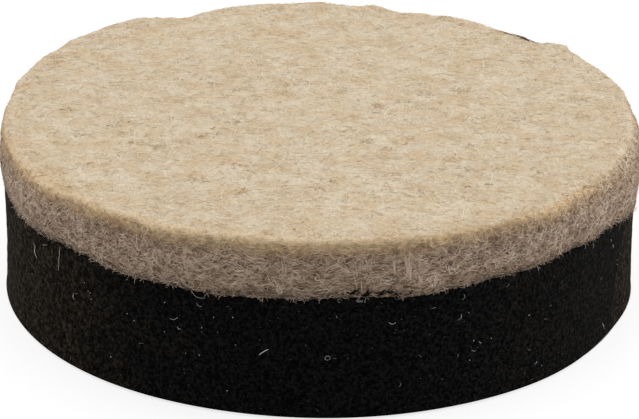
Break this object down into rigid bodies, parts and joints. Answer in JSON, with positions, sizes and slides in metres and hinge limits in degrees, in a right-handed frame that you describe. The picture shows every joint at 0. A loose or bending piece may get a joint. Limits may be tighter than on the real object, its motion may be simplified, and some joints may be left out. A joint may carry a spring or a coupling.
{
  "type": "felt furniture pad",
  "caption": "Round furniture pad: a beige needled felt disc bonded to a thick black foam disc, with an adhesive film under the foam.",
  "frame": {"origin": "centre of the adhesive face, on which the pad lies", "axes": "+Z through the thickness, from the adhesive face towards the felt"},
  "size_m": [0.0322, 0.032, 0.009],
  "materials": {
    "adhesive": "tacky pressure-sensitive film over black foam",
    "foam": "fine closed-cell foam, matt",
    "felt": "needled felt, fuzzy"
  },
  "bodies": {
    "root": {"adhesive_film": "adhesive", "foam_disc": "foam", "felt_disc": "felt"}
  },
  "joints": []
}
